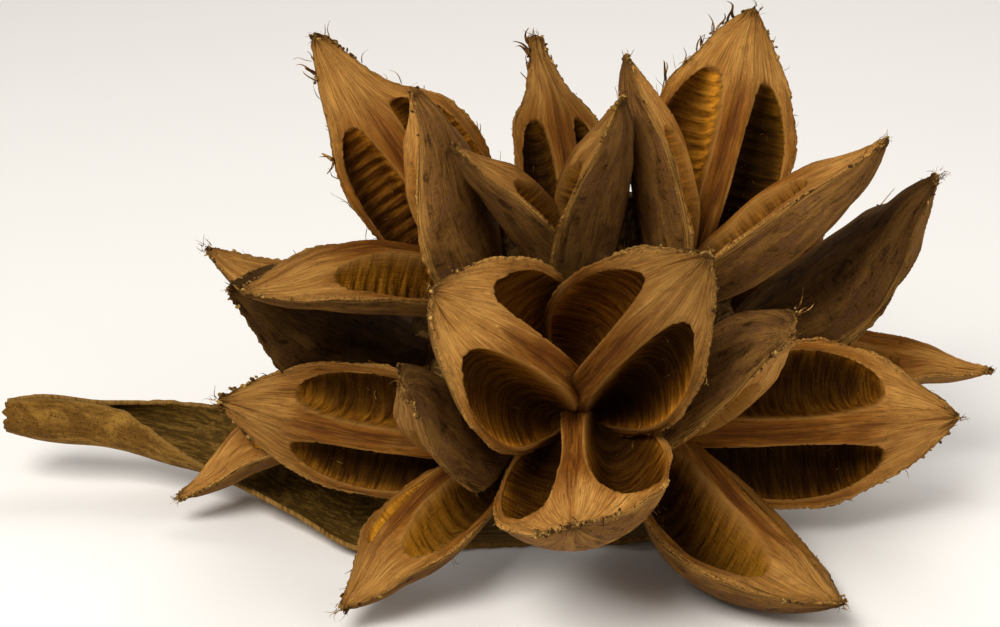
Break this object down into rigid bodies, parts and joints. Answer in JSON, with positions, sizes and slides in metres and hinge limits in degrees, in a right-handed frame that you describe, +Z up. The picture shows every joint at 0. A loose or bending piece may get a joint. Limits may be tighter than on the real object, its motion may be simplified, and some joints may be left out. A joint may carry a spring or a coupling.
{
  "type": "dried star pod cluster",
  "caption": "Dried fruit cluster: woody capsules split into boat-shaped valves with hollow seed chambers, on a short forked stalk in a boat-shaped bract with a rolled tip.",
  "frame": {"origin": "on the flat spot under the bract that the cluster rests on", "axes": "+X along the bract from its rolled tip to its cut stalk, +Z up, away from the surface that the cluster rests on"},
  "size_m": [0.3472, 0.2272, 0.1692],
  "materials": {
    "valve_wood": "dry fibrous wood with lengthwise grain, dark grey-brown outside and tan to orange-brown inside",
    "axis_wood": "rough dry wood, matt",
    "bract_fibre": "dry leathery fibre with fine lengthwise ribs, satin"
  },
  "bodies": {
    "root": {"capsule_front": "valve_wood", "capsule_left": "valve_wood", "capsule_right": "valve_wood", "capsule_upper_left": "valve_wood", "capsule_top": "valve_wood", "capsule_upper_right": "valve_wood", "capsule_back_left": "valve_wood", "capsule_back_right": "valve_wood", "fruit_axis": "axis_wood", "bract": "bract_fibre"}
  },
  "joints": []
}
